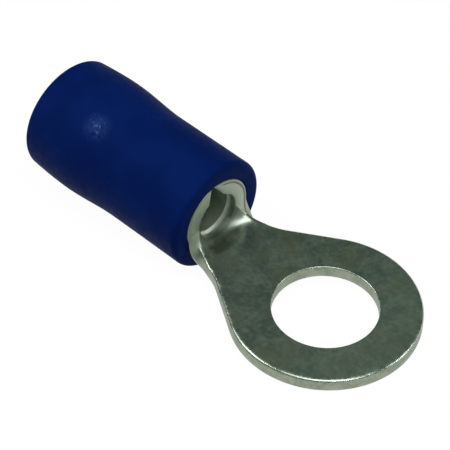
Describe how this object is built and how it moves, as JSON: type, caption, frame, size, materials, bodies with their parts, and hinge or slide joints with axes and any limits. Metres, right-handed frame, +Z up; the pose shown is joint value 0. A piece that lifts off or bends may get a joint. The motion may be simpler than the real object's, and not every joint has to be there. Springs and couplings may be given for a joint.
{
  "type": "insulated ring terminal",
  "caption": "Crimp ring terminal for an M5 stud: a ring tongue stamped from sheet, a rolled wire barrel and a blue insulating sleeve pressed over it.",
  "frame": {"origin": "centre of the stud hole on the tongue's underside", "axes": "+Z up out of the stud hole, on the side that the barrel rises to; -X back along the barrel to the wire end; +Y to the left when looking along +X"},
  "size_m": [0.0229, 0.0096, 0.0065],
  "materials": {
    "tinned_copper": "satin tin plate",
    "blue_vinyl": "moulded vinyl with a soft sheen"
  },
  "bodies": {
    "root": {"terminal": "tinned_copper", "insulating_sleeve": "blue_vinyl"}
  },
  "joints": []
}
